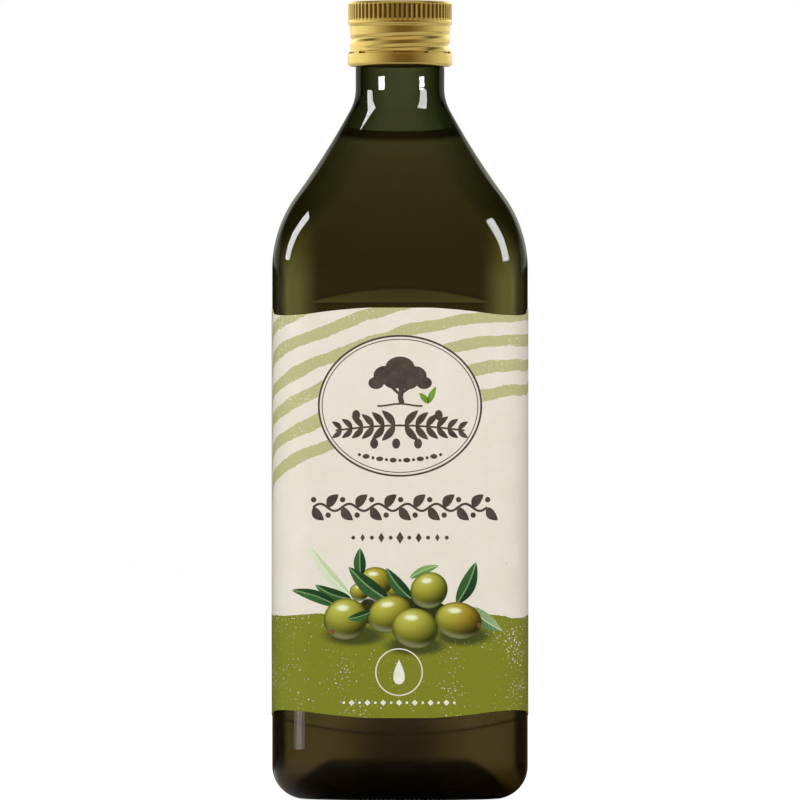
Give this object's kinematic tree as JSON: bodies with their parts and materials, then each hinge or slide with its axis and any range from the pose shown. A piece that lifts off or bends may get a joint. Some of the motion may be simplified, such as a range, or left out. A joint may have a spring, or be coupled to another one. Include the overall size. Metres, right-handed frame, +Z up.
{
  "type": "olive oil bottle",
  "caption": "Square glass oil bottle with rounded corners, bowed sides, sloping shoulder and round neck, full of oil, with a rolled-on metal cap and a wrap-round paper label.",
  "frame": {"origin": "on the ground, under the axis of the neck", "axes": "+Z up along the bottle, -Y towards the viewer, with X and Y square to the body's sides"},
  "size_m": [0.0804, 0.08, 0.2495],
  "materials": {
    "glass": "clear olive green, polished",
    "oil": "clear golden green liquid",
    "cap": "gold anodised, fine brushed",
    "label": "uncoated cream paper, printed"
  },
  "bodies": {
    "root": {"glass_bottle": "glass", "olive_oil": "oil", "cap": "cap", "label": "label"}
  },
  "joints": []
}
